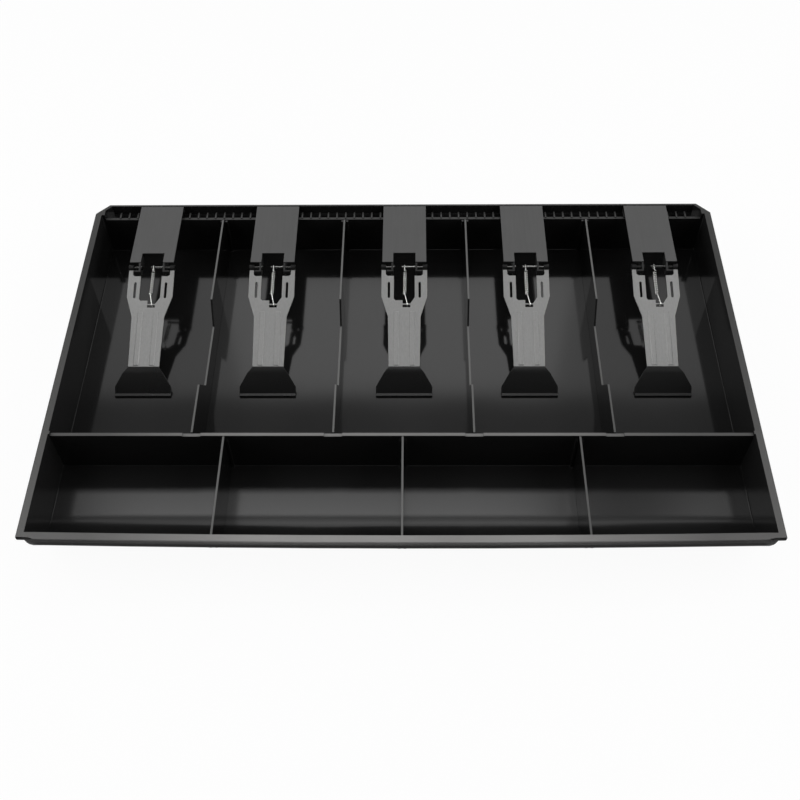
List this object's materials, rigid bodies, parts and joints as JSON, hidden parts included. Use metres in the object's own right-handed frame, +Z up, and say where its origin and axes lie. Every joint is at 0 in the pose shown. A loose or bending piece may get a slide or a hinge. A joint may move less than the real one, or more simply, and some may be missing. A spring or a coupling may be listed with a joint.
{
  "type": "cash drawer insert",
  "caption": "Black moulded tray for a cash drawer, with lift-out dividers, coin cups with scooped fronts, and sprung clips that hold notes flat.",
  "frame": {"origin": "middle of the resting face under the tray", "axes": "+X to the right seen from the coin side, +Y towards the clips at the rear, +Z up"},
  "size_m": [0.405, 0.2528, 0.035],
  "materials": {
    "black_moulding": "black, semi-gloss moulded",
    "divider_moulding": "black, semi-gloss moulded",
    "shoe_moulding": "black, satin moulded",
    "clip_plate_steel": "flat dark grey",
    "lever_steel": "satin grey sheet steel",
    "spring_wire": "bright wire",
    "pin_steel": "bright plated"
  },
  "bodies": {
    "tray": {"tray": "black_moulding", "clip_1_bracket": "clip_plate_steel", "clip_1_pin_left": "pin_steel", "clip_1_pin_right": "pin_steel", "clip_1_anchor": "pin_steel", "clip_2_bracket": "clip_plate_steel", "clip_2_pin_left": "pin_steel", "clip_2_pin_right": "pin_steel", "clip_2_anchor": "pin_steel", "clip_3_bracket": "clip_plate_steel", "clip_3_pin_left": "pin_steel", "clip_3_pin_right": "pin_steel", "clip_3_anchor": "pin_steel", "clip_4_bracket": "clip_plate_steel", "clip_4_pin_left": "pin_steel", "clip_4_pin_right": "pin_steel", "clip_4_anchor": "pin_steel", "clip_5_bracket": "clip_plate_steel", "clip_5_pin_left": "pin_steel", "clip_5_pin_right": "pin_steel", "clip_5_anchor": "pin_steel"},
    "bill_divider_1": {"bill_divider_1": "divider_moulding"},
    "bill_divider_2": {"bill_divider_2": "divider_moulding"},
    "bill_divider_3": {"bill_divider_3": "divider_moulding"},
    "bill_divider_4": {"bill_divider_4": "divider_moulding"},
    "coin_divider_1": {"coin_divider_1": "divider_moulding"},
    "coin_divider_2": {"coin_divider_2": "divider_moulding"},
    "coin_divider_3": {"coin_divider_3": "divider_moulding"},
    "clip_1_arm": {"clip_1_lever": "lever_steel", "clip_1_foot": "shoe_moulding"},
    "clip_1_coil": {"clip_1_spring": "spring_wire"},
    "clip_2_arm": {"clip_2_lever": "lever_steel", "clip_2_foot": "shoe_moulding"},
    "clip_2_coil": {"clip_2_spring": "spring_wire"},
    "clip_3_arm": {"clip_3_lever": "lever_steel", "clip_3_foot": "shoe_moulding"},
    "clip_3_coil": {"clip_3_spring": "spring_wire"},
    "clip_4_arm": {"clip_4_lever": "lever_steel", "clip_4_foot": "shoe_moulding"},
    "clip_4_coil": {"clip_4_spring": "spring_wire"},
    "clip_5_arm": {"clip_5_lever": "lever_steel", "clip_5_foot": "shoe_moulding"},
    "clip_5_coil": {"clip_5_spring": "spring_wire"}
  },
  "joints": [
    {"name": "bill_divider_1_lift", "type": "slide", "parent": "tray", "child": "bill_divider_1", "axis": [0, 0, 1], "range_m": [0, 0.035]},
    {"name": "bill_divider_2_lift", "type": "slide", "parent": "tray", "child": "bill_divider_2", "axis": [0, 0, 1], "range_m": [0, 0.035]},
    {"name": "bill_divider_3_lift", "type": "slide", "parent": "tray", "child": "bill_divider_3", "axis": [0, 0, 1], "range_m": [0, 0.035]},
    {"name": "bill_divider_4_lift", "type": "slide", "parent": "tray", "child": "bill_divider_4", "axis": [0, 0, 1], "range_m": [0, 0.035]},
    {"name": "coin_divider_1_lift", "type": "slide", "parent": "tray", "child": "coin_divider_1", "axis": [0, 0, 1], "range_m": [0, 0.035]},
    {"name": "coin_divider_2_lift", "type": "slide", "parent": "tray", "child": "coin_divider_2", "axis": [0, 0, 1], "range_m": [0, 0.035]},
    {"name": "coin_divider_3_lift", "type": "slide", "parent": "tray", "child": "coin_divider_3", "axis": [0, 0, 1], "range_m": [0, 0.035]},
    {"name": "clip_1_lift", "type": "hinge", "parent": "tray", "child": "clip_1_arm", "pos_m": [-0.15888, 0.0722, 0.0317], "axis": [-1, 0, 0], "range_deg": [0, 100], "stiffness_Nm_per_rad": 0.008, "springref_deg": -34.38},
    {"name": "clip_1_spring_swing", "type": "hinge", "parent": "tray", "child": "clip_1_coil", "pos_m": [-0.15888, 0.0748, 0.0293], "axis": [-1, 0, 0], "range_deg": [0, 90], "deforming": ["clip_1_spring"]},
    {"name": "clip_2_lift", "type": "hinge", "parent": "tray", "child": "clip_2_arm", "pos_m": [-0.08209, 0.0722, 0.0317], "axis": [-1, 0, 0], "range_deg": [0, 100], "stiffness_Nm_per_rad": 0.008, "springref_deg": -34.38},
    {"name": "clip_2_spring_swing", "type": "hinge", "parent": "tray", "child": "clip_2_coil", "pos_m": [-0.08209, 0.0748, 0.0293], "axis": [-1, 0, 0], "range_deg": [0, 90], "deforming": ["clip_2_spring"]},
    {"name": "clip_3_lift", "type": "hinge", "parent": "tray", "child": "clip_3_arm", "pos_m": [0.0017, 0.0722, 0.0317], "axis": [-1, 0, 0], "range_deg": [0, 100], "stiffness_Nm_per_rad": 0.008, "springref_deg": -34.38},
    {"name": "clip_3_spring_swing", "type": "hinge", "parent": "tray", "child": "clip_3_coil", "pos_m": [0.0017, 0.0748, 0.0293], "axis": [-1, 0, 0], "range_deg": [0, 90], "deforming": ["clip_3_spring"]},
    {"name": "clip_4_lift", "type": "hinge", "parent": "tray", "child": "clip_4_arm", "pos_m": [0.07861, 0.0722, 0.0317], "axis": [-1, 0, 0], "range_deg": [0, 100], "stiffness_Nm_per_rad": 0.008, "springref_deg": -34.38},
    {"name": "clip_4_spring_swing", "type": "hinge", "parent": "tray", "child": "clip_4_coil", "pos_m": [0.07861, 0.0748, 0.0293], "axis": [-1, 0, 0], "range_deg": [0, 90], "deforming": ["clip_4_spring"]},
    {"name": "clip_5_lift", "type": "hinge", "parent": "tray", "child": "clip_5_arm", "pos_m": [0.1601, 0.0722, 0.0317], "axis": [-1, 0, 0], "range_deg": [0, 100], "stiffness_Nm_per_rad": 0.008, "springref_deg": -34.38},
    {"name": "clip_5_spring_swing", "type": "hinge", "parent": "tray", "child": "clip_5_coil", "pos_m": [0.1601, 0.0748, 0.0293], "axis": [-1, 0, 0], "range_deg": [0, 90], "deforming": ["clip_5_spring"]}
  ],
  "couplings": [
    {"joint": "clip_1_spring_swing", "follows": "clip_1_lift", "ratio": 0.893},
    {"joint": "clip_2_spring_swing", "follows": "clip_2_lift", "ratio": 0.893},
    {"joint": "clip_3_spring_swing", "follows": "clip_3_lift", "ratio": 0.893},
    {"joint": "clip_4_spring_swing", "follows": "clip_4_lift", "ratio": 0.893},
    {"joint": "clip_5_spring_swing", "follows": "clip_5_lift", "ratio": 0.893}
  ]
}
